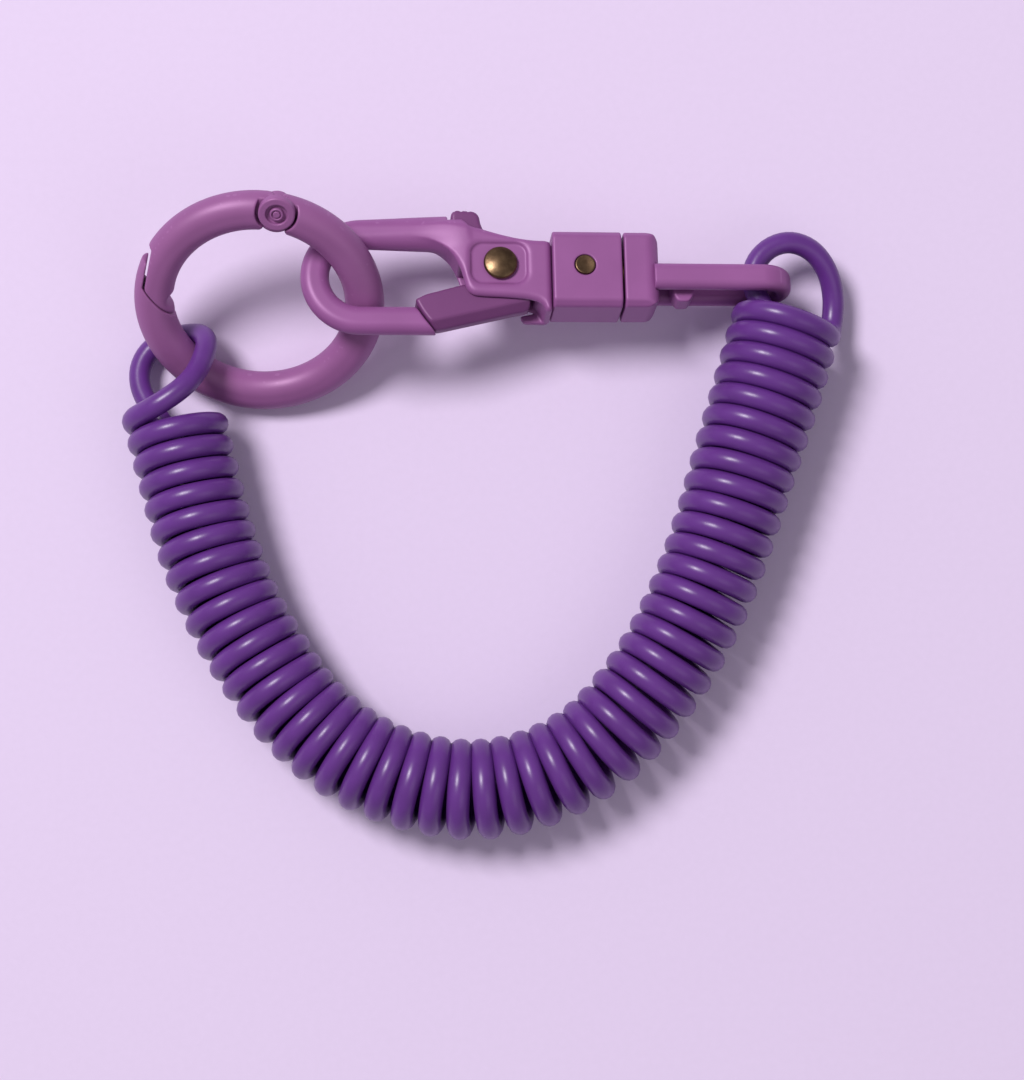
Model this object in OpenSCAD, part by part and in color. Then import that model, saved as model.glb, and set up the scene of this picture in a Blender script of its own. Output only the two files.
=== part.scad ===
// Coiled safety lanyard with a spring gate ring and a swivel trigger snap hook.
// It lies on a table: +Z is up, +X runs from the ring to the bail.
// The origin is under the middle of the ring and hook pair, on the table.

/* [Gate ring] */
// Radius of the ring's centreline (mm)
ring_r = 15.8; // [12:0.1:25]
// Thickness of the ring's bar across its plane (mm)
ring_t = 5.2; // [3:0.1:8]
// Extra width of the bar within the ring's plane (mm)
ring_flat = 0.7; // [0:0.1:2]
// Lean of the ring, with its hinge side raised (deg)
ring_tilt = 36; // [0:1:60]
// Where the gate's hinge sits around the ring (deg)
hinge_at = 78; // [60:1:100]
// Where the lip over the gate's free end starts (deg)
lip_at = 150; // [140:1:165]
// Where the body's outer edge meets the gate's free end (deg)
latch_at = 168; // [160:1:180]
// Radius of the hinge rivet's heads (mm)
ring_rivet_r = 2.6; // [1.5:0.1:3]

/* [Snap hook] */
// Roll of the hook about its length, near side raised (deg)
hook_roll = 15.5; // [0:0.5:30]
// Pitch of the hook, bow end raised (deg)
hook_pitch = 5; // [0:0.5:15]
// Radius of the bow's centreline (mm)
bow_r = 6.7; // [4:0.1:12]
// Thickness of the hook's bar across its plane (mm)
bar_t = 3.1; // [2:0.1:6]
// Width of the hook's bar within its plane (mm)
bar_w = 4; // [3:0.1:7]
// Thickness of the hook's body plate (mm)
body_t = 6.8; // [5:0.1:10]
// Thickness of the lever (mm)
lever_t = 4.4; // [2:0.1:5]
// Side clearance of the lever in its slot (mm)
lever_gap = 0.15; // [0.05:0.05:0.4]

/* [Swivel] */
// Width of the barrel and the cap (mm)
barrel_w = 12; // [8:0.5:18]
// Thickness of the barrel and the cap (mm)
barrel_t = 8.8; // [6:0.2:14]
// Radius of the swivel post (mm)
post_r = 1.6; // [1:0.1:3]
// Distance between the centrelines of the bail's two arms (mm)
bail_gap = 7; // [5:0.1:12]
// Width of a bail arm, seen from above (mm)
bail_w = 3.8; // [2:0.1:6]
// Thickness of a bail arm (mm)
bail_t = 2.8; // [2:0.1:5]

/* [Cord] */
// Diameter of the cord's wire (mm)
wire_d = 3.3; // [2:0.1:5]

/* [Hidden] */
$fn = 48;
eps = 0.01;

// where the ring and the hook lie
ring_x = -30.7;
ring_z = (ring_r + ring_flat / 2) * sin(ring_tilt) + ring_t / 2;
hook_pos = [18.2, 3.8, 10.9];

ring_c = [0.68, 0.45, 0.68];
hook_c = [0.62, 0.38, 0.62];
cord_c = [0.42, 0.25, 0.58];
brass_c = [0.72, 0.56, 0.30];
steel_c = [0.62, 0.62, 0.65];

// hook plane: u runs to the bail, v across, w out of the plane
pivot = [-13, 0.95];
rivet_r = 1.3;
slot_t = lever_t + 2 * lever_gap;
bow_c = [-33.8, -0.35];
nose_end = -22.4;
gate_arc = 13.8;
gate_clear = 0.2;
post_bore = post_r + 0.06;
bail_v = -1.1;
bail_end = 26.4;

// ring plane: the hinge axis and the reach of the gate about it
hinge = ring_r * [cos(hinge_at), sin(hinge_at)];
ring_pin_r = 1.1;
knuckle_r = 2.7;
lap_gap = 0.1;
lip_tip = (ring_r + 2.5) * [cos(lip_at - 1), sin(lip_at - 1)];
lip_root = (ring_r + 1.6) * [cos(latch_at), sin(latch_at)];
gate_reach = norm(hinge - lip_root);

// the coil lies on the table: each point's z is the coil's radius there
coil_route = [
  [-43.6, -18.5, 8.0], [-41.5, -27, 7.9], [-39, -36.5, 7.9], [-35.5, -45.5, 7.8],
  [-31, -53.5, 7.8], [-25.5, -61.2, 7.7], [-18, -67.8, 7.7], [-9, -72, 7.7],
  [1, -73.6, 7.7], [10.5, -72, 7.7], [19, -67.6, 7.7], [25.5, -61.2, 7.8],
  [31, -53, 7.9], [35.5, -43.5, 8.0], [39, -33.5, 8.1], [42, -23.5, 8.3],
  [45, -13.5, 8.5], [48, -3, 8.6]
];
// the wire's loop round the gate ring, from inside the coil and back
ring_eye_route = [
  [-46.6, -22, 5.6], [-48.6, -18.4, 5], [-50, -15, 4.4], [-50.3, -11.6, 3.5],
  [-49.6, -8.5, 2.6], [-47.5, -5.9, 2.1], [-44.8, -4.3, 2.4], [-41.6, -3.9, 3.6],
  [-38.8, -5.4, 5.9], [-37.9, -7.7, 8.5], [-39.5, -9.6, 11], [-41.2, -11.8, 12.6],
  [-44.6, -13.9, 13.2], [-47.8, -17, 13], [-49, -21.5, 11.2]
];
// the wire's loop through the bail, from inside the coil and back
bail_eye_route = [
  [43.6, -6, 8.6], [42.9, -2.4, 9.0], [42.8, 0.6, 9.15], [43.1, 3.4, 8.85],
  [44.1, 6.2, 8.35], [46.4, 8.5, 8.1], [49.4, 9.4, 7.8], [52.8, 8.2, 7],
  [55.2, 5.2, 6], [56.2, 1.2, 4.8], [55.9, -2.6, 4], [54.6, -6.5, 4]
];

// ---- placing ----

module in_ring() {
  translate([ring_x, 0, ring_z]) rotate([ring_tilt, 0, 0]) children();
}

module in_hook() {
  translate(hook_pos) rotate([0, hook_pitch, 0]) rotate([-hook_roll, 0, 0]) children();
}

module along_u(u) {
  translate([u, 0, 0]) rotate([0, 90, 0]) children();
}

// ---- shared shapes ----

// a bar's section: round edges t thick, w wide, w along x
module stadium(w, t) {
  for (side = [-1, 1]) translate([side * (w - t) / 2, 0]) circle(d = t);
  square([w - t, t], center = true);
}

module bar_arc(r, w, t, from, to) {
  rotate([0, 0, from])
    rotate_extrude(angle = to - from, $fn = 96) translate([r, 0]) stadium(w, t);
}

// a block with chamfered long edges along u, from u1 to u2
module chamfer_block(u1, u2, w, t, c) {
  along_u(u1) linear_extrude(u2 - u1)
    polygon([
      [-t / 2, -w / 2 + c], [-t / 2 + c, -w / 2], [t / 2 - c, -w / 2], [t / 2, -w / 2 + c],
      [t / 2, w / 2 - c], [t / 2 - c, w / 2], [-t / 2 + c, w / 2], [-t / 2, w / 2 - c]
    ]);
}

// ---- a tube swept along a route ----

function spline(p, i, t) =
  let (a = p[max(i - 1, 0)], b = p[i], c = p[i + 1], d = p[min(i + 2, len(p) - 1)])
  0.5 * (2 * b + (c - a) * t + (2 * a - 5 * b + 4 * c - d) * t * t
    + (3 * b - a - 3 * c + d) * t * t * t);

function smooth_route(p, n) =
  concat([for (i = [0:len(p) - 2]) for (k = [0:n - 1]) spline(p, i, k / n)], [p[len(p) - 1]]);

function unit(v) = v / norm(v);

function turn_frame(q, i) =
  let (last = len(q) - 1, d = unit(q[min(i + 1, last)] - q[max(i - 1, 0)]),
    side = unit(cross(d, abs(d[2]) > 0.9 ? [0, 1, 0] : [0, 0, 1])))
  [side, cross(side, d)];

// rs gives the tube's radius at each point
module tube(q, rs, sides) {
  rings = len(q);
  pts = [for (i = [0:rings - 1]) let (f = turn_frame(q, i))
    for (k = [0:sides - 1]) let (a = 360 * k / sides)
      q[i] + rs[i] * (cos(a) * f[0] + sin(a) * f[1])];
  walls = [for (i = [0:rings - 2]) for (k = [0:sides - 1])
    let (a = i * sides + k, b = i * sides + (k + 1) % sides) [a, b, b + sides, a + sides]];
  polyhedron(pts, concat(
    [[for (k = [sides - 1:-1:0]) k]],
    walls,
    [[for (k = [0:sides - 1]) (rings - 1) * sides + k]]
  ), convexity = 8);
}

// ---- gate ring ----

// room for the rivet's heads and the gate's corners at the hinge
module hinge_room() {
  for (side = [0, 1]) mirror([0, 0, side])
    translate([hinge[0], hinge[1], 1.2]) cylinder(r = knuckle_r + 0.3, h = ring_t);
  translate([hinge[0], hinge[1], -ring_t]) rotate([0, 0, hinge_at])
    linear_extrude(2 * ring_t) polygon([[0, -1.3], [-1, -1.3], [-6, -3], [-6, 3], [-1, 1.3], [0, 1.3]]);
}

module hinge_bore(r) {
  translate([hinge[0], hinge[1], -ring_t]) cylinder(r = r, h = 2 * ring_t);
}

// everything outside the lip's slanted inner face, moved out by grow
module lip_side(grow) {
  along = unit(lip_root - lip_tip);
  outward = [along[1], -along[0]];
  from = lip_tip + grow * outward;
  translate([0, 0, -ring_t]) linear_extrude(2 * ring_t)
    polygon([from - 12 * along, from + 24 * along, from + 24 * along + 9 * outward,
      from - 12 * along + 9 * outward]);
}

// the disc about the hinge that the gate's free end stays in
module gate_sweep(r) {
  translate([hinge[0], hinge[1], -ring_t]) cylinder(r = r, h = 2 * ring_t, $fn = 128);
}

module ring_body() {
  color(ring_c) in_ring() difference() {
    union() {
      difference() {
        bar_arc(ring_r, ring_t + ring_flat, ring_t, lip_at - 358, hinge_at - 2);
        // the gate's room inside the lip
        difference() {
          gate_sweep(gate_reach + 0.15);
          lip_side(0.15);
          translate([-2, -2 * ring_r, -2 * ring_t]) cube([4 * ring_r, 4 * ring_r, 4 * ring_t]);
        }
        hinge_room();
      }
      translate([hinge[0], hinge[1], -1.2]) cylinder(r = knuckle_r, h = 1.15);
      rotate([0, 0, hinge_at - 16]) translate([0, 0, -1.2])
        rotate_extrude(angle = 14, $fn = 96) translate([ring_r - 1.5, 0]) square([3, 1.15]);
    }
    // the gate's half of the lap
    translate([hinge[0], hinge[1], 0]) cylinder(r = knuckle_r + lap_gap, h = 1.2 + eps);
    hinge_bore(ring_pin_r);
  }
}

module ring_gate() {
  color(ring_c) in_ring() difference() {
    union() {
      difference() {
        bar_arc(ring_r, ring_t + ring_flat, ring_t, hinge_at + 2, 205);
        lip_side(0);
        difference() {
          gate_sweep(3 * ring_r);
          gate_sweep(gate_reach);
        }
        hinge_room();
      }
      translate([hinge[0], hinge[1], 0.05]) cylinder(r = knuckle_r, h = 1.15);
      rotate([0, 0, hinge_at + 2]) translate([0, 0, 0.05])
        rotate_extrude(angle = 14, $fn = 96) translate([ring_r - 1.5, 0]) square([3, 1.15]);
    }
    // the body's half of the lap
    translate([hinge[0], hinge[1], -1.2 - eps]) cylinder(r = knuckle_r + lap_gap, h = 1.2);
    hinge_bore(ring_pin_r + 0.05);
  }
}

// a double-headed rivet, stepped like a turned part
module ring_hinge_pin() {
  color(ring_c) in_ring() translate([hinge[0], hinge[1], 0]) {
    translate([0, 0, -1.6]) cylinder(r = ring_pin_r, h = 3.2);
    difference() {
      translate([0, 0, 1.6]) cylinder(r = ring_rivet_r, h = 1.2);
      translate([0, 0, 2.4]) difference() {
        cylinder(r = 1.25, h = 1);
        translate([0, 0, -1]) cylinder(r = 0.75, h = 3);
      }
    }
    translate([0, 0, -2.6]) cylinder(r = 2.2, h = 1.0);
  }
}

// coils of a hidden torsion spring round a pin
module pin_coils(inner_r, wire_r, turns) {
  for (i = [0:turns - 1])
    translate([0, 0, (2 * i + 1) * wire_r * 0.98])
      rotate_extrude() translate([inner_r + wire_r, 0]) circle(r = wire_r);
}

module ring_gate_spring() {
  color(steel_c) in_ring() translate([hinge[0], hinge[1], 1.24]) pin_coils(1.25, 0.17, 1);
}

// ---- snap hook ----

module body_outline() {
  polygon([
    [-5.3, 4.7], [-10, 5.1], [-13, 5.7], [-16, 6.6], [-20, 7.7], [-22.6, 8.3],
    [-22.6, 3.6], [-20.9, 2.7], [-19.6, 1.1], [-18.8, -1], [-18.1, -3.2], [-17.3, -3.9],
    [-16, -4.1], [-8.8, -4.5], [-7.2, -5], [-6.4, -6], [-6.3, -7.2], [-5.3, -7.2]
  ]);
}

module lever_room() {
  linear_extrude(slot_t, center = true) polygon([
    [-21.2, 12], [-11.2, 12], [-11, 4.7], [-9.2, 4], [-8.2, 1.6], [-8, -2], [-7.8, -4.2],
    [-6.9, -5.4], [-6.9, -9], [-21.2, -9]
  ]);
}

// a straight arm from the bow's end to u
module bow_arm(v, u) {
  along_u(bow_c[0]) translate([0, bow_c[1] + v]) rotate([0, 0, 90])
    linear_extrude(u - bow_c[0]) stadium(bar_w, bar_t);
}

module hook_body() {
  color(hook_c) in_hook() difference() {
    union() {
      linear_extrude(body_t, center = true) body_outline();
      // the bow, its upper arm, and the nose that the gate closes on
      translate(bow_c) bar_arc(bow_r, bar_w, bar_t, 90, 270);
      bow_arm(bow_r, -21.8);
      bow_arm(-bow_r, nose_end);
      // the arm swells into the body
      linear_extrude(4.2, center = true)
        polygon([[-27.5, 7.9], [-22.3, 8.6], [-21.9, 8], [-21.9, 3.8], [-22.3, 3.7], [-27.5, 4.8]]);
      // the tang that the barrel is pinned to
      translate([-5.4, -4.2, -2.4]) cube([7, 8.4, 4.8]);
    }
    lever_room();
    // the nose ends on an arc round the lever's pivot
    translate([pivot[0], pivot[1], -body_t])
      intersection() {
        cylinder(r = gate_arc + gate_clear, h = 2 * body_t, $fn = 96);
        translate([-16, -14, 0]) cube([8, 9.6, 2 * body_t]);
      }
    // seats of the rivet's head and cap, and the rivet's bore
    translate([pivot[0], pivot[1], body_t / 2 - 0.4]) cylinder(r = 3.3, h = 2);
    translate([pivot[0], pivot[1], -body_t / 2 - 1.6]) cylinder(r = 2.6, h = 2);
    translate([pivot[0], pivot[1], -body_t]) cylinder(r = rivet_r, h = 2 * body_t);
    translate([-0.4, 0.4, -5]) cylinder(r = 1, h = 10);
  }
}

module lever_plate() {
  linear_extrude(lever_t, center = true) children();
}

module hook_lever() {
  color(hook_c) in_hook() difference() {
    union() {
      // gate: its front follows the arc round the pivot
      lever_plate() intersection() {
        translate(pivot) circle(r = gate_arc, $fn = 96);
        polygon([
          [-27, -4.9], [-25.3, -4.2], [-24.2, -3.6], [-18.8, -2.1], [-14.6, -1.4],
          [-9.3, -1.6], [-8.4, -4], [-8.6, -5.8], [-10.4, -6.1], [-22.2, -8.9], [-27, -9.4]
        ]);
      }
      lever_plate() translate(pivot) circle(r = 3.2);
      // thumb tab and the arm that carries it
      lever_plate() polygon([
        [-20.2, 10.1], [-19.2, 10.5], [-16.4, 10.3], [-16, 9.9], [-15.6, 7.2], [-11, 3],
        [-9.8, 0.4], [-9.2, -1.9], [-16.4, -2.3], [-16.8, 3], [-20.2, 7.4]
      ]);
    }
    translate([pivot[0], pivot[1], -lever_t]) cylinder(r = rivet_r + 0.06, h = 2 * lever_t);
    // pocket for the torsion spring
    translate([pivot[0], pivot[1], lever_t / 2 - 1.1]) cylinder(r = 2.3, h = 2);
  }
}

// brass rivet: a domed head, two steps, and a shaft through both cheeks
module lever_rivet() {
  color(brass_c) in_hook() translate([pivot[0], pivot[1], 0]) {
    translate([0, 0, -body_t / 2 + 0.4]) cylinder(r = rivet_r, h = body_t - 0.8);
    translate([0, 0, body_t / 2 - 0.4]) cylinder(r = 2.45, h = 0.5);
    translate([0, 0, body_t / 2 + 0.1]) intersection() {
      translate([0, 0, -4.4]) sphere(r = 5, $fn = 64);
      cylinder(r = 2.36, h = 2);
    }
  }
}

module lever_rivet_cap() {
  color(brass_c) in_hook() translate([pivot[0], pivot[1], -body_t / 2]) {
    translate([0, 0, -0.3]) cylinder(r = 2.3, h = 0.7);
    translate([0, 0, -0.5]) cylinder(r1 = 1.9, r2 = 2.3, h = 0.2);
  }
}

module lever_spring() {
  color(steel_c) in_hook()
    translate([pivot[0], pivot[1], lever_t / 2 - 1.05]) pin_coils(rivet_r + 0.12, 0.25, 2);
}

// ---- swivel ----

module barrel() {
  color(hook_c) in_hook() difference() {
    chamfer_block(-5.2, 5.2, barrel_w, barrel_t, 1.2);
    // socket for the tang, then the room of the post's flange
    translate([-5.3, -4.2, -2.4]) cube([7.1, 8.4, 4.8]);
    along_u(1.7) cylinder(r = 2.35, h = 1.7);
    along_u(3) cylinder(r = post_bore, h = 3);
    translate([-0.4, 0.4, -6]) cylinder(r = 1, h = 12);
    translate([-0.4, 0.4, barrel_t / 2 - 0.3]) cylinder(r = 1.6, h = 1);
  }
}

module barrel_pin() {
  color(brass_c) in_hook() translate([-0.4, 0.4, 0]) {
    translate([0, 0, -barrel_t / 2]) cylinder(r = 1, h = barrel_t - 0.2);
    translate([0, 0, barrel_t / 2 - 0.3]) cylinder(r = 1.5, h = 0.4);
  }
}

module swivel_washer() {
  color(brass_c) in_hook() difference() {
    along_u(5.23) cylinder(r = 3.4, h = 0.3);
    along_u(5) cylinder(r = post_bore, h = 1);
  }
}

module swivel_cap() {
  color(hook_c) in_hook() difference() {
    union() {
      chamfer_block(5.56, 9.4, barrel_w, barrel_t, 1.2);
      chamfer_block(9.4, 10.3, barrel_w - 1.2, barrel_t - 0.8, 1.2);
      chamfer_block(10.3, 10.9, barrel_w - 3, barrel_t - 2, 1.2);
    }
    along_u(5) cylinder(r = post_r, h = 8);
    bail_roots();
  }
}

// headed post: it is pressed into the cap and turns in the barrel
module swivel_post() {
  color(steel_c) in_hook() {
    along_u(2.1) cylinder(r = 2.2, h = 0.85);
    along_u(2.9) cylinder(r = post_r, h = 11.6);
  }
}

module post_key() {
  color(hook_c) in_hook() difference() {
    translate([0, 0, -1.9]) linear_extrude(3.8) polygon([
      [13.1, -3.1], [13.8, -4.3], [15.4, -4.3], [16.2, -3.1],
      [16.2, -0.2], [15.4, 0.3], [13.8, 0.3], [13.1, -0.2]
    ]);
    along_u(12) cylinder(r = post_r, h = 2.5);
  }
}

// the stretch of the two arms that sits inside the cap
module bail_roots() {
  for (side = [-1, 1])
    along_u(6.5) translate([side * bail_gap / 2, bail_v]) rotate([0, 0, 90])
      linear_extrude(6) stadium(bail_w, bail_t);
}

module bail() {
  color(hook_c) in_hook() {
    for (side = [-1, 1])
      along_u(6.5) translate([side * bail_gap / 2, bail_v]) rotate([0, 0, 90])
        linear_extrude(bail_end - 6.5) stadium(bail_w, bail_t);
    translate([bail_end, bail_v, 0]) rotate([90, 0, 0]) rotate([0, 0, -90])
      rotate_extrude(angle = 180, $fn = 96)
        translate([bail_gap / 2, 0]) rotate([0, 0, 90]) stadium(bail_w, bail_t);
  }
}

// ---- cord ----

module coil_cord() {
  q = smooth_route(coil_route, 3);
  color(cord_c) tube(q, [for (p = q) p[2] - 0.05], 12);
}

module eye(route) {
  q = smooth_route(route, 3);
  color(cord_c) tube(q, [for (p = q) wire_d / 2], 12);
}

module ring_eye() {
  eye(ring_eye_route);
}

module bail_eye() {
  eye(bail_eye_route);
}

ring_body();
ring_gate();
ring_hinge_pin();
ring_gate_spring();
hook_body();
hook_lever();
lever_rivet();
lever_rivet_cap();
lever_spring();
barrel();
barrel_pin();
swivel_washer();
swivel_cap();
swivel_post();
post_key();
bail();
coil_cord();
ring_eye();
bail_eye();
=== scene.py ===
"""Looks of a coiled safety lanyard: gate ring, snap hook, swivel, and a cord wound in a coil."""

import math

import bpy
import numpy as np
from mathutils import Matrix


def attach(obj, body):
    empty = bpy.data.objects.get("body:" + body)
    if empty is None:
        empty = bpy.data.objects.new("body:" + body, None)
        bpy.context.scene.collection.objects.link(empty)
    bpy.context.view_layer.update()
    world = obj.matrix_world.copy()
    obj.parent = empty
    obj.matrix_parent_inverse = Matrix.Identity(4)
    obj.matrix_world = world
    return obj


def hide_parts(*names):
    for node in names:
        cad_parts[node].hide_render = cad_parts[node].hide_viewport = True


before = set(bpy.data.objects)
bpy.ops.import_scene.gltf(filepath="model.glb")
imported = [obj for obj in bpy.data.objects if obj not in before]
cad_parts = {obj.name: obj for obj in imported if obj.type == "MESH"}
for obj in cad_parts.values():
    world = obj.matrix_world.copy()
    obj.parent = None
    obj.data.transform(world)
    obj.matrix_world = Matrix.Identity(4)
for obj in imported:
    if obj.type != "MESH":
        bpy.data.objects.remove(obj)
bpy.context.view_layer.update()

MM = 0.001

# ---- sizes, in millimetres and degrees, close to those of the CAD source ----

RING_R = 15.8
RING_T = 5.2
RING_FLAT = 0.7
RING_TILT = 36
HINGE_AT = 78
LIP_AT = 150
LATCH_AT = 168
RING_X = -30.7
RING_Z = (RING_R + RING_FLAT / 2) * math.sin(math.radians(RING_TILT)) + RING_T / 2

# the hook's own axes: u along it, v across it in the plane of its bow, w through it
HOOK_ROLL = 15.5
HOOK_PITCH = 5
HOOK_POS = (18.2, 3.8, 10.9)
PIVOT = (-13, 0.95)
BOW_C = (-33.8, -0.35)
BOW_R = 6.7
NOSE_END = -22.4
GATE_ARC = 13.8
BODY_T = 6.8
LEVER_T = 4.4
SLOT_T = 4.7
HUB_R = 3.2
RIVET_R = 1.28

BLOCK_W = 12
BLOCK_T = 8.8
PIN_AT = (-0.4, 0.4)
BAIL_V = -1.1
BAIL_W = 4.0
BAIL_GAP = 7
BAIL_END = 26.4

WIRE_D = 3.3
TURNS = 48

# ---- camera, in metres ----

CAMERA_AT = (0.007222, -0.035756, 0.45)
HALF_FRAME = 0.08333


def make_camera():
    """Straight above the table, far enough off for a mild perspective."""
    data = bpy.data.cameras.new("camera")
    data.sensor_fit = "VERTICAL"
    data.angle = 2 * math.atan(HALF_FRAME / CAMERA_AT[2])
    camera = bpy.data.objects.new("camera", data)
    camera.location = CAMERA_AT
    bpy.context.scene.collection.objects.link(camera)
    bpy.context.scene.camera = camera


# ---- materials ----


# how deep the finest surface grain is, in metres
GRAIN_DEPTH = 0.00003


def new_material(name):
    material = bpy.data.materials.new(name)
    material.use_nodes = True
    return material, material.node_tree.nodes, material.node_tree.links


def noise(nodes, links, coords, scale, detail=3.0):
    node = nodes.new("ShaderNodeTexNoise")
    node.inputs["Scale"].default_value = scale
    node.inputs["Detail"].default_value = detail
    links.new(coords.outputs["Object"], node.inputs["Vector"])
    return node


def ramp(nodes, links, source, stops):
    """stops are (position, colour) pairs, the colour as red, green, blue."""
    node = nodes.new("ShaderNodeValToRGB")
    while len(node.color_ramp.elements) < len(stops):
        node.color_ramp.elements.new(0.5)
    for element, (position, colour) in zip(node.color_ramp.elements, stops):
        element.position = position
        element.color = (*colour, 1)
    links.new(source, node.inputs["Fac"])
    return node


def value_range(nodes, links, source, low, high, start=0.0, end=1.0):
    """The source's values from start to end, spread over low to high."""
    node = nodes.new("ShaderNodeMapRange")
    node.inputs["From Min"].default_value = start
    node.inputs["From Max"].default_value = end
    node.inputs["To Min"].default_value = low
    node.inputs["To Max"].default_value = high
    links.new(source, node.inputs["Value"])
    return node


def shades(colour, low, high):
    """A darker and a lighter version of a colour."""
    return [low * c for c in colour], [min(1, high * c) for c in colour]


def add_bump(nodes, links, shader, source, strength):
    node = nodes.new("ShaderNodeBump")
    node.inputs["Strength"].default_value = strength
    node.inputs["Distance"].default_value = GRAIN_DEPTH
    links.new(source, node.inputs["Height"])
    links.new(node.outputs["Normal"], shader.inputs["Normal"])


def coated_metal(name, colour, worn, roughness):
    """Powder-coated die-cast metal: a fine skin, faint clouds, and paler worn edges."""
    material, nodes, links = new_material(name)
    shader = nodes["Principled BSDF"]
    coords = nodes.new("ShaderNodeTexCoord")
    clouds = noise(nodes, links, coords, 120, 4)
    dark, light = shades(colour, 0.94, 1.05)
    shade = ramp(nodes, links, clouds.outputs["Fac"], [(0.3, dark), (0.7, light)])
    geometry = nodes.new("ShaderNodeNewGeometry")
    edge = value_range(nodes, links, geometry.outputs["Pointiness"], 0, 0.35, 0.56, 0.66)
    mix = nodes.new("ShaderNodeMix")
    mix.data_type = "RGBA"
    mix.inputs["B"].default_value = (*worn, 1)
    links.new(edge.outputs["Result"], mix.inputs["Factor"])
    links.new(shade.outputs["Color"], mix.inputs["A"])
    links.new(mix.outputs["Result"], shader.inputs["Base Color"])
    rough = value_range(nodes, links, clouds.outputs["Fac"], roughness - 0.05, roughness + 0.06)
    links.new(rough.outputs["Result"], shader.inputs["Roughness"])
    skin = noise(nodes, links, coords, 5200, 2)
    add_bump(nodes, links, shader, skin.outputs["Fac"], 0.35)
    shader.inputs["Metallic"].default_value = 0.12
    shader.inputs["Specular IOR Level"].default_value = 0.5
    return material


def cord_plastic(name, colour, roughness):
    """The wire's extruded plastic jacket: semi-gloss, with a faint drawn grain."""
    material, nodes, links = new_material(name)
    shader = nodes["Principled BSDF"]
    coords = nodes.new("ShaderNodeTexCoord")
    clouds = noise(nodes, links, coords, 260, 3)
    dark, light = shades(colour, 0.92, 1.07)
    shade = ramp(nodes, links, clouds.outputs["Fac"], [(0.3, dark), (0.72, light)])
    links.new(shade.outputs["Color"], shader.inputs["Base Color"])
    grain = noise(nodes, links, coords, 2400, 3)
    rough = value_range(nodes, links, grain.outputs["Fac"], roughness - 0.05, roughness + 0.07)
    links.new(rough.outputs["Result"], shader.inputs["Roughness"])
    add_bump(nodes, links, shader, grain.outputs["Fac"], 0.3)
    shader.inputs["Specular IOR Level"].default_value = 0.5
    return material


def aged_metal(name, dark, light, roughness, scale):
    """Bare metal gone dull: a patina in patches, with small scratches."""
    material, nodes, links = new_material(name)
    shader = nodes["Principled BSDF"]
    coords = nodes.new("ShaderNodeTexCoord")
    patches = noise(nodes, links, coords, scale, 6)
    shade = ramp(nodes, links, patches.outputs["Fac"], [(0.35, dark), (0.68, light)])
    links.new(shade.outputs["Color"], shader.inputs["Base Color"])
    rough = value_range(nodes, links, patches.outputs["Fac"], roughness + 0.12, roughness - 0.05)
    links.new(rough.outputs["Result"], shader.inputs["Roughness"])
    fine = noise(nodes, links, coords, 4200, 4)
    add_bump(nodes, links, shader, fine.outputs["Fac"], 0.4)
    shader.inputs["Metallic"].default_value = 1.0
    return material


def floor_material(name, colour):
    """Matt card, with a grain too faint to read as a pattern."""
    material, nodes, links = new_material(name)
    shader = nodes["Principled BSDF"]
    coords = nodes.new("ShaderNodeTexCoord")
    clouds = noise(nodes, links, coords, 900, 2)
    dark, light = shades(colour, 0.985, 1)
    shade = ramp(nodes, links, clouds.outputs["Fac"], [(0.3, dark), (0.7, light)])
    links.new(shade.outputs["Color"], shader.inputs["Base Color"])
    shader.inputs["Roughness"].default_value = 0.9
    shader.inputs["Specular IOR Level"].default_value = 0.1
    return material


RING_PAINT = coated_metal("ring_paint", (0.32, 0.11, 0.30), (0.44, 0.19, 0.43), 0.46)
HOOK_PAINT = coated_metal("hook_paint", (0.31, 0.097, 0.30), (0.44, 0.19, 0.44), 0.46)
# painted shade: the lever's paint is a darker copy of the hook's paint. It stands in for the shade
# on the gate, which faces away from the key light, and the thumb tab gets the same darker colour
LEVER_SHADED_PAINT = coated_metal("lever_shaded_paint", (0.18, 0.046, 0.175), (0.29, 0.10, 0.29), 0.42)
CORD_SKIN = cord_plastic("cord_skin", (0.125, 0.031, 0.235), 0.32)
BRASS = aged_metal("brass", (0.10, 0.06, 0.036), (0.235, 0.15, 0.085), 0.34, 700)
STEEL = aged_metal("steel", (0.36, 0.36, 0.38), (0.62, 0.62, 0.65), 0.34, 1400)

# ---- the cord ----

# the coil's axis, its height being the coil's radius there
COIL_ROUTE = [
    (-44.1, -16.8, 8.0), (-41.6, -27, 7.9), (-39, -36.5, 7.9), (-35.5, -45.5, 7.8),
    (-31, -53.5, 7.8), (-25.5, -61.2, 7.7), (-18, -67.8, 7.7), (-9, -72, 7.7),
    (1, -73.6, 7.7), (10.5, -72, 7.7), (19, -67.6, 7.7), (25.5, -61.2, 7.8),
    (31.3, -53, 7.9), (36, -43.5, 8.0), (39.6, -33.5, 8.1), (42.6, -23.5, 8.3),
    (45.7, -13.5, 8.5), (48.9, -2.5, 8.6),
]
# from inside the coil, under the gate ring's bar and back over it
RING_EYE = [
    (-43.2, -25, 8.2), (-43.8, -21.2, 7.7), (-45.6, -18, 6.8), (-48.2, -15.2, 5.2),
    (-49.9, -12, 3.8), (-49.9, -8.8, 2.8), (-48, -5.9, 2.2), (-44.7, -4.5, 2.5),
    (-41.6, -4.4, 4.1), (-39.8, -5.8, 6.8), (-39.4, -8.1, 9.6), (-40, -10.4, 12),
    (-41.3, -12.4, 13.7), (-43.4, -14.1, 14.5), (-45.9, -15.6, 14.2),
]
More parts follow.
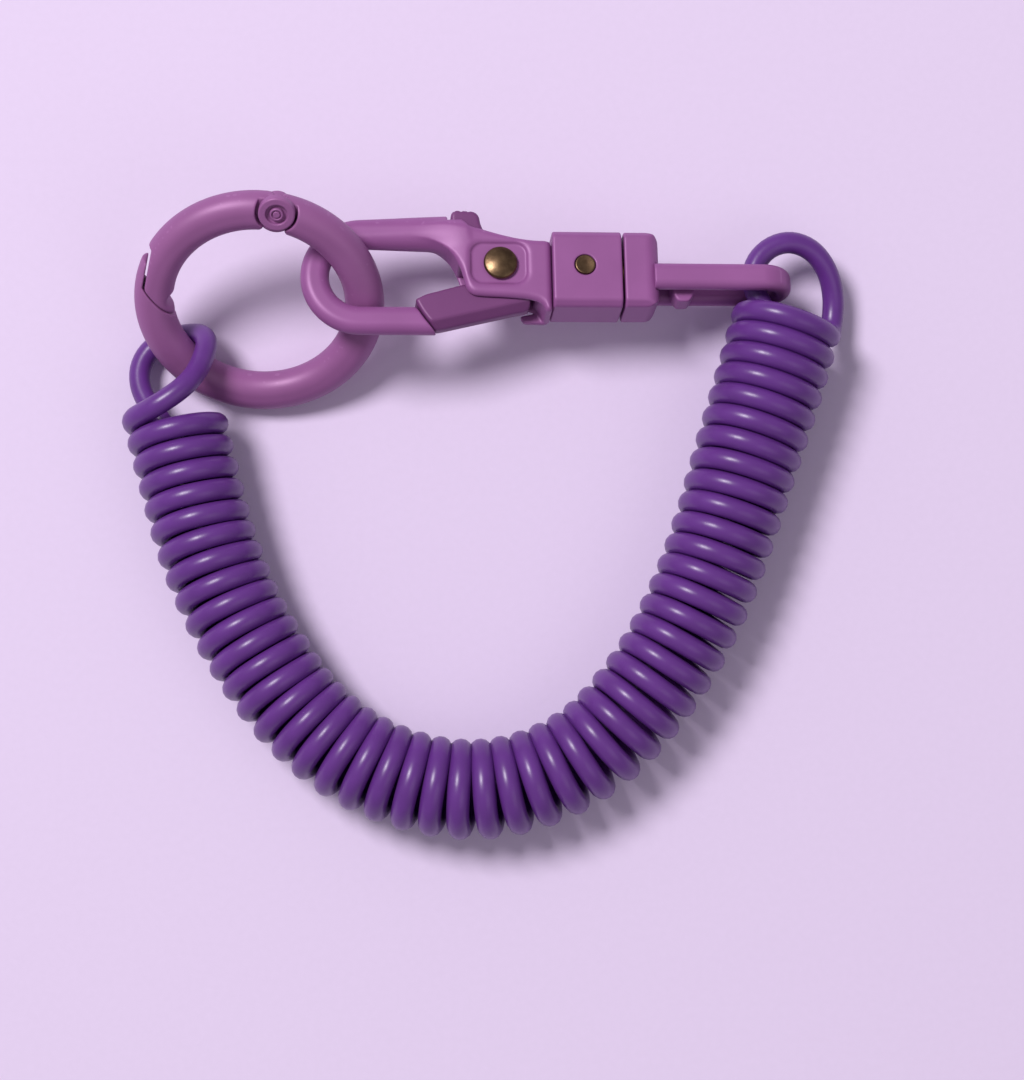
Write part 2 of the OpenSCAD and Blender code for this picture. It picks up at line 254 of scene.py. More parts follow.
# round, up through the bail, and into the coil's open end
BAIL_EYE = [
    (55.7, -4.3, 5.6), (56.1, -2.2, 4.7), (56.3, 0.3, 4.6), (56.0, 2.9, 5.0), (55.0, 5.6, 5.9),
    (52.8, 8.2, 7), (49.6, 9.4, 7.8), (46.6, 8.7, 8.1), (44.5, 6.8, 8.4), (43.6, 4.4, 8.8),
    (43.9, 2, 9.02), (45.1, -0.4, 9.08), (46.5, -3, 8.8), (47.1, -7, 8.5), (46.4, -12, 8.4),
]
# how far apart the turns lie along the coil: left arm, bend, right arm
PITCH_AT = [0.0, 0.28, 0.5, 0.62, 0.76, 1.0]
PITCH = [3.65, 3.75, 4.15, 4.15, 3.75, 3.4]
# how much the wire's jacket bulges along the cord, the most where the coil is bent
BULGE_AT = [0.0, 0.05, 0.3, 0.5, 0.7, 0.95, 1.0]
BULGE = [1.0, 1.0, 1.02, 1.08, 1.02, 1.0, 1.0]
STEPS_PER_TURN = 48
# where the first turn starts and the last one ends, in degrees up from the coil's outer side
FIRST_ANGLE = 50
LAST_ANGLE = -15
# the arms' turns lean away from the bend by this much per unit of height
LEAN = 0.13
# a turn's outer side lies this far behind its centre, along the coil
SLANT = 0.65
# half the wire with its usual bulge, and a hair of room under it
WIRE_SEAT = 1.02 * WIRE_D / 2 + 0.02
# spacing of the drawn cord's points, and how many of them make the loop round the ring
POINT_STEP = 0.78
LOOP_POINTS = 64
LOOP_GAP = 0.22
# how many of the helix's points at each end take part in the blend into a loop
BLEND = 8


def smooth(points, steps):
    """A Catmull-Rom curve through the points, as in the CAD source."""
    p = np.array(points, float)
    out = []
    for i in range(len(p) - 1):
        a, b, c, d = p[max(i - 1, 0)], p[i], p[i + 1], p[min(i + 2, len(p) - 1)]
        for t in np.arange(steps) / steps:
            out.append(
                0.5 * (2 * b + (c - a) * t + (2 * a - 5 * b + 4 * c - d) * t**2
                       + (3 * b - a - 3 * c + d) * t**3)
            )
    out.append(p[-1])
    return np.array(out)


def length_along(points):
    """The run of the line up to each of its points."""
    return np.concatenate([[0], np.cumsum(np.linalg.norm(np.diff(points, axis=0), axis=1))])


def at_run(s, run, axis, size):
    """The point of the axis that lies s along it."""
    return np.array([np.interp(s, run, axis[:, i]) for i in range(size)])


def helix():
    """The turns, by a loop along the coil's axis."""
    axis = smooth(COIL_ROUTE, 24)
    run = length_along(axis[:, :2])
    pitch = np.interp(run / run[-1], PITCH_AT, PITCH)
    phase = np.concatenate([[0], np.cumsum(2 * np.diff(run) / (pitch[1:] + pitch[:-1]))])
    turned = TURNS + (FIRST_ANGLE - LAST_ANGLE) / 360
    phase *= turned / phase[-1]
    out = []
    count = int(round(turned * STEPS_PER_TURN))
    for k in range(count + 1):
        done = turned * k / count
        s = np.interp(done, phase, run)
        centre = at_run(s, run, axis, 3)
        before = at_run(max(s - 0.5, 0), run, axis, 2)
        after = at_run(min(s + 0.5, run[-1]), run, axis, 2)
        along = (after - before) / np.linalg.norm(after - before)
        outward = np.array([along[1], -along[0]])
        angle = math.radians(FIRST_ANGLE - 360 * done)
        radius = centre[2] - WIRE_SEAT
        up = radius * math.sin(angle)
        xy = centre[:2] + math.cos(angle) * (radius * outward - SLANT * along)
        # the lean fades out towards the middle of the bend
        lean = LEAN * up * math.sin(math.pi / 2 * abs(2 * s / run[-1] - 1))
        out.append((xy[0], xy[1] + lean, centre[2] + up))
    return out


def even(points, step):
    """The same curve with its points an even step apart."""
    run = length_along(points)
    count = int(run[-1] / step)
    at = np.linspace(0, run[-1], count + 1)
    return np.stack([np.interp(at, run, points[:, i]) for i in range(3)], axis=1)


def soften(points, rounds):
    """Takes small kinks out of the joins between the loops and the coil."""
    p = points.copy()
    for _ in range(rounds):
        p[1:-1] = 0.25 * p[:-2] + 0.5 * p[1:-1] + 0.25 * p[2:]
    return p


def slope_of(field, points):
    """The field's gradient at the points, by small steps to both sides."""
    h = 0.01
    return np.stack(
        [(field(points + h * e) - field(points - h * e)) / (2 * h) for e in np.eye(3)], axis=1
    )


def off_the_bar(points):
    """Pushes the loop's points off the gate ring's bar."""
    local = (points - RING_PLACE[:, 3]) @ RING_PLACE[:, :3]
    for _ in range(6):
        short = np.minimum(ring_bar(local) - WIRE_D / 2 - LOOP_GAP, 0)
        local = local - short[:, None] * slope_of(ring_bar, local)
    return local @ RING_PLACE[:, :3].T + RING_PLACE[:, 3]


def cord_line():
    """The whole cord: the loop round the ring, the turns, and the loop through the bail."""
    turns = helix()
    first = smooth(RING_EYE + turns[2:BLEND:2], 10)
    last = smooth(turns[-BLEND:-2:2] + BAIL_EYE, 10)
    joined = np.concatenate([first[:-1], np.array(turns[BLEND:-BLEND]), last[1:]])
    line = soften(even(joined, POINT_STEP), 2)
    loop = slice(0, LOOP_POINTS)
    for _ in range(3):
        line[loop] = soften(off_the_bar(line[loop]), 4)
    return even(line, POINT_STEP)


def make_cord():
    line = cord_line()
    data = bpy.data.curves.new("cord", "CURVE")
    data.dimensions = "3D"
    data.bevel_depth = WIRE_D / 2 * MM
    data.bevel_resolution = 5
    data.use_fill_caps = True
    spline = data.splines.new("POLY")
    spline.points.add(len(line) - 1)
    spline.points.foreach_set("co", np.c_[line * MM, np.ones(len(line))].ravel())
    along = np.linspace(0, 1, len(line))
    spline.points.foreach_set("radius", np.interp(along, BULGE_AT, BULGE))
    spline.use_smooth = True
    cord = bpy.data.objects.new("cord", data)
    bpy.context.scene.collection.objects.link(cord)
    data.materials.append(CORD_SKIN)
    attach(cord, "hook")
    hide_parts("coil_cord", "ring_eye", "bail_eye")
    print("cord length", round(float(length_along(line)[-1]) * MM, 4), "points", len(line))


# ---- solid shapes as distance fields, in millimetres ----


def join(a, b, r):
    """Both shapes, with a fillet of about r between them."""
    h = np.clip(0.5 + 0.5 * (b - a) / r, 0, 1)
    return b + (a - b) * h - r * h * (1 - h)


def meet(a, b, r):
    """What is in both shapes, its new edge rounded by about r."""
    return -join(-a, -b, r)


def cut(a, b, r):
    """The first shape without the second, its new edge rounded by about r."""
    return -join(-a, b, r)


def outline(x, y, points):
    """Signed distance to a polygon in the plane, negative inside."""
    best = np.full(x.shape, np.inf)
    inside = np.zeros(x.shape, bool)
    count = len(points)
    for i in range(count):
        ax, ay = points[i - 1]
        bx, by = points[i]
        ex, ey = bx - ax, by - ay
        wx, wy = x - ax, y - ay
        t = np.clip((wx * ex + wy * ey) / (ex * ex + ey * ey), 0, 1)
        best = np.minimum(best, (wx - t * ex) ** 2 + (wy - t * ey) ** 2)
        if ay != by:
            crosses = (ay > y) != (by > y)
            inside ^= crosses & (x < ax + (y - ay) * ex / ey)
    return np.where(inside, -1, 1) * np.sqrt(best)


def rounded(points, r, steps=4):
    """A polygon with its corners rounded by up to r."""
    out = []
    count = len(points)
    for i in range(count):
        a, b, c = (np.array(points[(i + k) % count], float) for k in (-1, 0, 1))
        u, v = a - b, c - b
        lu, lv = np.linalg.norm(u), np.linalg.norm(v)
        k = min(r, 0.45 * lu, 0.45 * lv)
        p, q = b + u / lu * k, b + v / lv * k
        for t in np.linspace(0, 1, steps):
            out.append(tuple((1 - t) ** 2 * p + 2 * t * (1 - t) * b + t * t * q))
    return out


def slab(flat, across, half, r):
    """A plane shape given thickness: flat is its plane distance, across the way through it."""
    thick = np.abs(across) - half
    return (
        np.minimum(np.maximum(flat + r, thick + r), 0)
        + np.hypot(np.maximum(flat + r, 0), np.maximum(thick + r, 0)) - r
    )


def cylinder(p, centre, radius, low, high, r):
    """A round plug along the third axis."""
    flat = np.hypot(p[:, 0] - centre[0], p[:, 1] - centre[1]) - radius
    return slab(flat, p[:, 2] - (low + high) / 2, (high - low) / 2, r)


def stadium(across, through, w, t):
    """A bar's section, w wide and t thick, with fully round sides."""
    return np.hypot(np.maximum(np.abs(across) - (w - t) / 2, 0), through) - t / 2


# ---- meshes from the fields ----

CORNERS = np.array([(i, j, k) for i in (0, 1) for j in (0, 1) for k in (0, 1)])
EDGES = [(a, b) for a in range(8) for b in range(a + 1, 8)
         if abs(CORNERS[a] - CORNERS[b]).sum() == 1]


def sample(field, axes, step, block=6):
    """The field on a grid, worked out in full only in the blocks near the surface.

    A block counts as near within half its diagonal, with a margin since fields aren't exact.
    """
    shape = tuple(len(a) for a in axes)
    centres = [a[:1] + step * ((np.arange(-(-len(a) // block)) + 0.5) * block - 0.5) for a in axes]
    grid = np.stack(np.meshgrid(*centres, indexing="ij"), -1)
    rough = field(grid.reshape(-1, 3)).reshape(grid.shape[:3])
    for axis in range(3):
        rough = np.repeat(rough, block, axis=axis)
    value = rough[: shape[0], : shape[1], : shape[2]].copy()
    near = np.abs(value) < 1.3 * 0.5 * math.sqrt(3) * block * step + 2 * step
    where = np.argwhere(near)
    points = np.stack([axes[i][where[:, i]] for i in range(3)], axis=1)
    value[near] = field(points)
    return value


def net_points(value, cells, low, step):
    """One point in each cell that the surface crosses, midway between its crossings."""
    total = np.zeros((len(cells), 3))
    hits = np.zeros(len(cells))
    corner = [value[tuple((cells + c).T)] for c in CORNERS]
    for a, b in EDGES:
        crossed = (corner[a] < 0) != (corner[b] < 0)
        t = corner[a] / np.where(crossed, corner[a] - corner[b], 1)
        at = CORNERS[a] + t[:, None] * (CORNERS[b] - CORNERS[a])
        total[crossed] += at[crossed]
        hits += crossed
    return low + step * (cells + total / hits[:, None])


def net_faces(value, number):
    """A quad across each grid edge that the surface crosses."""
    quads = []
    for axis in range(3):
        o1, o2 = [k for k in range(3) if k != axis]
        head = [slice(1, -1)] * 3
        tail = [slice(1, -1)] * 3
        head[axis], tail[axis] = slice(0, -1), slice(1, None)
        a, b = value[tuple(head)], value[tuple(tail)]
        at = np.argwhere((a < 0) != (b < 0))
        out = a[tuple(at.T)] < 0
        at[:, o1] += 1
        at[:, o2] += 1
        ring = []
        for d1, d2 in ((0, 0), (1, 0), (1, 1), (0, 1)):
            cell = at.copy()
            cell[:, o1] -= d1
            cell[:, o2] -= d2
            ring.append(number[tuple(cell.T)])
        quad = np.stack(ring, axis=1)
        flip = out if axis != 1 else ~out
        quad[~flip] = quad[~flip][:, ::-1]
        quads.append(quad[:, ::-1])
    return np.concatenate(quads)


def settle(field, points, rounds=3):
    """Moves the points onto the exact surface, by small steps."""
    for _ in range(rounds):
        slope = slope_of(field, points)
        size = np.maximum((slope**2).sum(axis=1), 0.25)
        points = points - np.clip(field(points) / size, -0.2, 0.2)[:, None] * slope
    return points


def surface(field, low, high, step):
    """The field's zero surface as points and quads, from a grid between two corners."""
    low = np.array(low, float)
    axes = [np.arange(a, b + step, step) for a, b in zip(low, high)]
    value = sample(field, axes, step)
    inside = value < 0
    mixed = np.zeros([n - 1 for n in value.shape], int)
    for c in CORNERS:
        mixed += inside[tuple(slice(k, n - 1 + k) for k, n in zip(c, value.shape))]
    cells = np.argwhere((mixed > 0) & (mixed < 8))
    number = np.full(mixed.shape, -1)
    number[tuple(cells.T)] = np.arange(len(cells))
    points = net_points(value, cells, low, step)
    return settle(field, points), net_faces(value, number)


def build(name, field, low, high, step, place, body, nodes, material):
    """A piece from its field: place takes the field's own axes to the part's."""
    points, faces = surface(field, low, high, step)
    world = (points @ place[:, :3].T + place[:, 3]) * MM
    mesh = bpy.data.meshes.new(name)
    mesh.from_pydata(world.tolist(), [], faces.tolist())
    mesh.validate()
    mesh.polygons.foreach_set("use_smooth", [True] * len(mesh.polygons))
    mesh.materials.append(material)
    piece = bpy.data.objects.new(name, mesh)
    bpy.context.scene.collection.objects.link(piece)
    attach(piece, body)
    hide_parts(*nodes)
    return piece


def turn(axis, degrees):
    """A rotation about one of the part's axes."""
    return np.array(Matrix.Rotation(math.radians(degrees), 3, axis))


RING_PLACE = np.c_[turn("X", RING_TILT), (RING_X, 0, RING_Z)]
HOOK_PLACE = np.c_[turn("Y", HOOK_PITCH) @ turn("X", -HOOK_ROLL), HOOK_POS]

# ---- gate ring ----


def polar(r, degrees):
    """A point in the ring's plane."""
    return np.array([r * math.cos(math.radians(degrees)), r * math.sin(math.radians(degrees))])


HINGE = polar(RING_R, HINGE_AT)
# the rivet's disc sits a little outside the hinge
DISC = polar(RING_R + 1.0, HINGE_AT)
DISC_R = 2.72
PIN_R = 1.1
# the lap: each half of the hinge is a round knuckle of this radius and thickness
KNUCKLE_R = 2.7
KNUCKLE_T = 1.25
# the notch inside the hinge stays within this reach of its pin
HINGE_NOTCH = 5.5
# the edges of the ring's cuts are rounded by this much
RING_EDGE = 0.25
GATE_END_AT = 205
LIP_TIP = polar(RING_R + 2.5, LIP_AT - 1)
LIP_ROOT = polar(RING_R + 1.6, LATCH_AT)
LIP_ALONG = (LIP_ROOT - LIP_TIP) / np.linalg.norm(LIP_ROOT - LIP_TIP)
LIP_OUT = np.array([LIP_ALONG[1], -LIP_ALONG[0]])
GATE_REACH = np.linalg.norm(HINGE - LIP_ROOT)


def side_of(p, degrees):
    """Distance past the plane through the ring's axis at that angle."""
    a = math.radians(degrees)
    return p[:, 1] * math.cos(a) - p[:, 0] * math.sin(a)


def off_axis(p, centre):
    """Distance from a line along the third axis."""
    return np.hypot(p[:, 0] - centre[0], p[:, 1] - centre[1])


def ring_bar(p):
    return stadium(off_axis(p, (0, 0)) - RING_R, p[:, 2], RING_T + RING_FLAT, RING_T)


def past_lip(p):
    """Distance outwards past the lip's slanted face."""
    return (p[:, 0] - LIP_TIP[0]) * LIP_OUT[0] + (p[:, 1] - LIP_TIP[1]) * LIP_OUT[1]


def hinge_wedge(p):
    """The notch inside the hinge that lets the gate swing inwards."""
    inward = -side_of(p - (*HINGE, 0), HINGE_AT - 90)
    across = np.abs(side_of(p - (*HINGE, 0), HINGE_AT))
    wedge = np.maximum(-inward, across - 1.3 - 0.36 * np.maximum(inward - 1, 0))
    return np.maximum(wedge, off_axis(p, HINGE) - HINGE_NOTCH)


def disc_room(p, gap):
    """The room of the rivet's disc on the front, and of its foot on the back."""
    return np.maximum(off_axis(p, DISC) - DISC_R - gap, KNUCKLE_T - np.abs(p[:, 2]))


def ring_body_field(p):
    """The bar from the lip round to the hinge, with the back half of the hinge's lap."""
    z = p[:, 2]
    opening = np.maximum(-side_of(p, HINGE_AT - 2), side_of(p, LIP_AT + 5))
    shape = cut(ring_bar(p), opening, RING_EDGE)
    # the gate's room under the lip, in the left half of the ring only
    pocket = np.maximum(off_axis(p, HINGE) - GATE_REACH - 0.16, past_lip(p) - 0.12)
    shape = cut(shape, np.maximum(pocket, p[:, 0] + 2), RING_EDGE)
    shape = cut(shape, np.minimum(disc_room(p, 0.38), hinge_wedge(p)), 0.2)
    # the room of the gate's knuckle
    shape = cut(shape, cylinder(p, HINGE, KNUCKLE_R + 0.25, -0.02, KNUCKLE_T + 0.15, 0.05), 0.1)
    knuckle = cylinder(p, HINGE, KNUCKLE_R, -KNUCKLE_T, -0.05, 0.1)
    # the lug that shows inside the ring, behind the gate's knuckle
    lug = np.maximum(ring_bar(p) + 0.12, off_axis(p, HINGE) - KNUCKLE_R - 0.2)
    lug = np.maximum(lug, off_axis(p, (0, 0)) - RING_R + 0.6)
    lug = meet(np.maximum(lug, z + 0.1), -z - 2.2, 0.3)
    return np.minimum(shape, join(knuckle, lug, 0.15))


def ring_gate_field(p):
    """The bar from the hinge to the lip, with the front half of the hinge's lap."""
    z = p[:, 2]
    arc = np.maximum(-side_of(p, HINGE_AT + 2), side_of(p, GATE_END_AT))
    shape = meet(ring_bar(p), arc, RING_EDGE)
    shape = meet(shape, off_axis(p, HINGE) - GATE_REACH, 0.4)
    beside_lip = np.maximum(-past_lip(p) - 0.2, -side_of(p, LIP_AT - 2))
    shape = cut(shape, beside_lip, 0.3)
    # a shallow scoop inside the free end
    scoop = off_axis(p, polar(RING_R - 3.1, LATCH_AT + 8)) - 1.0
    shape = cut(shape, scoop, 0.5)
    shape = cut(shape, np.minimum(disc_room(p, 0.48), hinge_wedge(p)), 0.2)
    # the room of the body's knuckle and lug
    behind = np.maximum(z + 0.02, -z - 3.0)
    shape = cut(shape, np.maximum(off_axis(p, HINGE) - KNUCKLE_R - 0.3, behind), 0.1)
    knuckle = cylinder(p, HINGE, KNUCKLE_R + 0.08, 0.06, KNUCKLE_T, 0.12)
    return np.minimum(shape, knuckle)


def hinge_pin_field(p):
    """A wide collar with a groove and a fine inner groove, on a shaft with a foot."""
    z = p[:, 2]
    r = off_axis(p, DISC)
    head = slab(r - DISC_R, z - 2.0, 0.7, 0.3)
    head = cut(head, slab(np.abs(r - 1.32) - 0.3, z - 2.8, 0.75, 0.15), 0.22)
    head = cut(head, slab(np.abs(r - 0.62) - 0.09, z - 2.8, 0.4, 0.05), 0.14)
    r = off_axis(p, HINGE)
    shaft = slab(r - PIN_R, z, 1.7, 0.1)
    foot = slab(r - 2 * PIN_R, z + 1.95, 0.65, 0.25)
    return np.minimum(np.minimum(head, shaft), foot)


def make_ring():
    span = RING_R + 3.4
    build(
        "ring_body_cast", ring_body_field, (-span, -span, -3), (span, span, 3), 0.2,
        RING_PLACE, "ring", ["ring_body"], RING_PAINT,
    )
    build(
        "ring_gate_cast", ring_gate_field, (-span, -4, -3), (6, span, 3), 0.17,
        RING_PLACE, "ring_gate", ["ring_gate"], RING_PAINT,
    )
    build(
        "ring_hinge_rivet", hinge_pin_field, (HINGE[0] - 3.2, HINGE[1] - 3, -3),
        (HINGE[0] + 3.4, HINGE[1] + 4, 3.3), 0.07,
        RING_PLACE, "ring", ["ring_hinge_pin"], RING_PAINT,
    )


# ---- snap hook ----

BODY_OUTLINE = [
    (-5.3, 4.75), (-8, 4.8), (-10.5, 5.15), (-13, 5.75), (-16, 6.65), (-19, 7.5), (-21.5, 8.1),
    (-28, 8.5), (-28, 4.3), (-24, 4.2), (-21.9, 3.4), (-20.3, 2.3), (-19.2, 0.5),
    (-18.6, -1.2), (-18.2, -3), (-17.2, -4.0), (-15.5, -4.15), (-12, -4.3), (-8.8, -4.55),
    (-7.3, -5.0), (-6.6, -5.6), (-6.3, -6.5), (-5.3, -6.5),
]
# the lower cheek's foot, under the lever's tail
FOOT = [(-9.8, -5.4), (-5.6, -4.6), (-5.6, -6.6), (-9.2, -6.5)]
LEVER_ROOM = [
    (-20.7, 12), (-11.2, 12), (-11, 4.7), (-9.2, 4), (-8.2, 1.6), (-8, -2), (-7.8, -4.2),
    (-6.9, -5.4), (-6.9, -9), (-21.2, -9), (-21.2, 0.7), (-17.4, 0.7), (-17.3, 2.6), (-20.7, 7),
]
LEVER_GATE = [
    (-27, -4.9), (-25.3, -4.2), (-24.2, -3.6), (-18.8, -2.1), (-14.6, -1.4),
    (-9.3, -1.6), (-8.4, -4), (-8.6, -5.8), (-10.4, -6.1), (-22.2, -8.9), (-27, -9.4),
]
LEVER_TAB = [
    (-20.2, 9.3), (-19.6, 9.85), (-16.7, 9.7), (-16, 9.1), (-15.6, 6.9), (-11, 3),
    (-9.8, 0.4), (-9.2, -1.9), (-16.4, -2.3), (-16.8, 3), (-20.2, 7.4),
]
# the bow's bar, and how much wider and thicker its upper arm gets towards the body
BAR_W = 4.3
BAR_T = 3.2
ARM_WIDER = 1.3
ARM_THICKER = 2.3
# the dish round the rivet: its middle, its flat half sizes, the corners' radius and its depth
PAD_AT = (-13.2, 1.0)
PAD_HALF = (2.4, 1.4)
PAD_CORNER = 1.6
PAD_DEPTH = 0.4
# the thumb tab's grip steps
GRIP_PITCH = 1.1


def swell(u, start, end):
    """From 0 at the start to 1 at the end, with soft ends."""
    t = np.clip((u - start) / (end - start), 0, 1)
    return t * t * (3 - 2 * t)


def bow_field(p):
    """The hook's bow, its upper arm swelling into the body, and its nose."""
    u, v, w = p.T
    du = np.minimum(u - BOW_C[0], 0)
    offset = np.hypot(du, v - BOW_C[1]) - BOW_R
    upper = v > BOW_C[1]
    grow = np.where(upper, swell(u, -40, -16), 0)
    offset = offset - 0.12 - 0.2 * grow
    bar = stadium(offset, w, BAR_W + ARM_WIDER * grow, BAR_T + ARM_THICKER * grow)
    end = np.where(upper, u + 18.6, u - NOSE_END)
    return meet(bar, end, 0.35)


def box(p, centre, half):
    """A plain block with sharp edges."""
    return np.max(np.abs(p - centre) - half, axis=1)


def rivet_pad(p):
    """A shallow dish with round corners, sunk in both faces round the rivet."""
    u, v, w = p.T
    du = np.maximum(np.abs(u - PAD_AT[0]) - PAD_HALF[0], 0)
    dv = np.maximum(np.abs(v - PAD_AT[1]) - PAD_HALF[1], 0)
    return np.maximum(np.hypot(du, dv) - PAD_CORNER, BODY_T / 2 - PAD_DEPTH - np.abs(w))


def hook_body_field(p):
    """The bow and the body's plate, which thins out into the upper arm, and the tang."""
    u, v, w = p.T
    flat = outline(u, v, rounded(BODY_OUTLINE, 0.9, 3))
    taper = 3.6 * (1 - swell(u, -30, -17.5))
    plate = slab(flat, w, BODY_T / 2, 0.95) + taper
    shape = join(plate, bow_field(p), 1.8)
    shape = cut(shape, rivet_pad(p), 1.1)
    room = slab(outline(u, v, LEVER_ROOM), w, SLOT_T / 2, 0.1)
    shape = cut(shape, room, 0.3)
    shape = join(shape, slab(outline(u, v, rounded(FOOT, 0.5, 3)), w + 2.9, 0.48, 0.3), 0.3)
    # the nose ends on an arc round the lever's pivot
    reach = off_axis(p, PIVOT) - GATE_ARC - 0.2
    shape = cut(shape, np.maximum(reach, np.maximum(v + 3.45, u + 21)), 0.2)
    # seats of the rivet's head and of its cap
    for side, radius in ((1, 2.6), (-1, 2.4)):
        seat = cylinder(p * (1, 1, side), PIVOT, radius, BODY_T / 2 - 0.45, 6, 0.05)
        shape = cut(shape, seat, 0.12)
    shape = cut(shape, cylinder(p, PIVOT, RIVET_R + 0.02, -6, 6, 0.05), 0.1)
    tang = box(p, (-2, 0, 0), (3.4, 4.1, 2.3))
    return np.minimum(shape, tang)


def lever_field(p):
    """The gate, the hub and the thumb tab, all in one plate."""
    u, v, w = p.T
    half = LEVER_T / 2
    gate = outline(u, v, rounded(LEVER_GATE, 0.8, 3))
    gate = meet(gate, off_axis(p, PIVOT) - GATE_ARC, 0.4)
    gate = slab(gate, w, half, 0.45)
    # the gate's lower edge is bevelled on both faces
    edge = 0.23 * (u + 10.4) - 0.973 * (v + 6.1)
    gate = meet(gate, 0.74 * edge + 0.67 * (np.abs(w) - half) + 0.95, 0.25)
    hub = slab(off_axis(p, PIVOT) - HUB_R, w, half, 0.2)
    tab = slab(outline(u, v, rounded(LEVER_TAB, 0.9, 3)), w, half, 0.55)
    shape = join(join(gate, hub, 0.4), tab, 0.4)
    # grip steps along the thumb tab's top
    steps = np.abs((u + 19.2) % GRIP_PITCH - GRIP_PITCH / 2) - 0.16
    steps = np.maximum(steps, 9.6 - v)
    shape = cut(shape, np.maximum(steps, np.abs(u + 18) - 1.7), 0.15)
    return cut(shape, cylinder(p, PIVOT, RIVET_R + 0.08, -4, 4, 0.05), 0.1)


def rivet_field(p):
    """A domed head with a thin rim, on a shaft."""
    r = off_axis(p, PIVOT)
    z = p[:, 2] - BODY_T / 2
    dome = np.hypot(r, z + 5.3) - 6.1
    head = meet(np.maximum(dome, -z - 0.4), r - 2.42, 0.12)
    rim = np.hypot(r - 2.3, z + 0.02) - 0.24
    shaft = slab(r - RIVET_R, p[:, 2], BODY_T / 2 - 0.3, 0.1)
    return np.minimum(join(head, rim, 0.1), shaft)


def make_hook():
    build(
        "hook_body_cast", hook_body_field, (-43.6, -10, -4.2), (2.2, 10, 4.2), 0.19,
        HOOK_PLACE, "hook", ["hook_body"], HOOK_PAINT,
    )
    # the lever is given the darker paint, which is painted shade
    build(
        "hook_lever_cast", lever_field, (-27.5, -10, -2.8), (-7.5, 11.2, 2.8), 0.16,
        HOOK_PLACE, "lever", ["hook_lever"], LEVER_SHADED_PAINT,
    )
    build(
        "lever_rivet_dome", rivet_field, (PIVOT[0] - 3, PIVOT[1] - 3, -3.6),
        (PIVOT[0] + 3, PIVOT[1] + 3, 5), 0.08,
        HOOK_PLACE, "hook", ["lever_rivet"], BRASS,
    )


# ---- swivel ----

BARREL_END = 5.2
CAP_START = 5.56
CAP_END = 10.9
# the corners along the blocks and at their ends are rounded by about this much
BLOCK_EDGE = 0.3
BLOCK_END_EDGE = 0.32
BORE_R = 1.7
KEY_OUTLINE = [
    (13.0, -3.0), (13.7, -4.4), (15.5, -4.4), (16.3, -3.0),
    (16.3, -0.2), (15.5, 0.4), (13.7, 0.4), (13.0, -0.2),
]


def square_section(v, w):
    """The barrel's and the cap's section before its corners are bevelled."""
    return np.maximum(np.abs(v) - BLOCK_W / 2, np.abs(w) - BLOCK_T / 2)


def bevelled_block(p, u1, u2, bevel):
    """A block along u with its four long edges bevelled."""
    u, v, w = p.T
    corner = (np.abs(v) + np.abs(w) - BLOCK_W / 2 - BLOCK_T / 2 + bevel) / math.sqrt(2)
    section = meet(square_section(v, w), corner, BLOCK_EDGE)
    return slab(section, u - (u1 + u2) / 2, (u2 - u1) / 2, BLOCK_END_EDGE)


def barrel_field(p):
    """A bevelled block with the post's bore, the pin's seat and the tang's socket."""
    u, v, w = p.T
    shape = bevelled_block(p, -BARREL_END, BARREL_END, 0.95)
    bore = slab(np.hypot(v, w) - BORE_R, u - 3.6, 2.4, 0.1)
    shape = cut(shape, bore, 0.15)
    seat = cylinder(p, PIN_AT, 1.62, 4.0, 6, 0.05)
    shape = cut(shape, seat, 0.12)
    socket = box(p, (-2, 0, 0), (3.5, 4.2, 2.4))
    return np.maximum(shape, -socket)


def barrel_pin_field(p):
    """A flat head that is a little dished, on a shaft."""
    r, z = off_axis(p, PIN_AT), p[:, 2]
    head = slab(r - 1.5, z - 4.2, 0.38, 0.18)
    head = cut(head, np.hypot(r, z - 9.4) - 4.95, 0.12)
    return np.minimum(head, slab(r - 1.0, z, 4.2, 0.1))


def cap_field(p):
    """The cap's bail end is rounded off, its other end is square."""
    u, v, w = p.T
    shape = bevelled_block(p, CAP_START, CAP_END, 1.0)
    crown = slab(square_section(v, w), u - 6.9, 4.0, 2.3)
    shape = meet(shape, crown, 0.2)
    # a shallow seam round each root of the bail
    for side in (-1, 1):
        arm = stadium(v - BAIL_V, w - side * BAIL_GAP / 2, BAIL_W, 2.8) - 0.08
        shape = cut(shape, np.maximum(arm, 10.2 - u), 0.12)
    return shape


def bail_field(p):
    """Two arms along u, joined by a half circle."""
    u, v, w = p.T
    offset = np.hypot(np.maximum(u - BAIL_END, 0), w) - BAIL_GAP / 2
    bar = stadium(v - BAIL_V, offset, BAIL_W, 2.65)
    return meet(bar, 10.0 - u, 0.1)


def key_field(p):
    """The small block beside the cap, between the bail's arms."""
    u, v, w = p.T
    return slab(outline(u, v, rounded(KEY_OUTLINE, 0.5, 3)), w, 1.9, 0.3)


def washer_field(p):
    """A thin ring in the gap between the barrel and the cap."""
    u, v, w = p.T
    r = np.hypot(v, w)
    return slab(np.maximum(r - 3.4, 1.68 - r), u - 5.38, 0.14, 0.05)


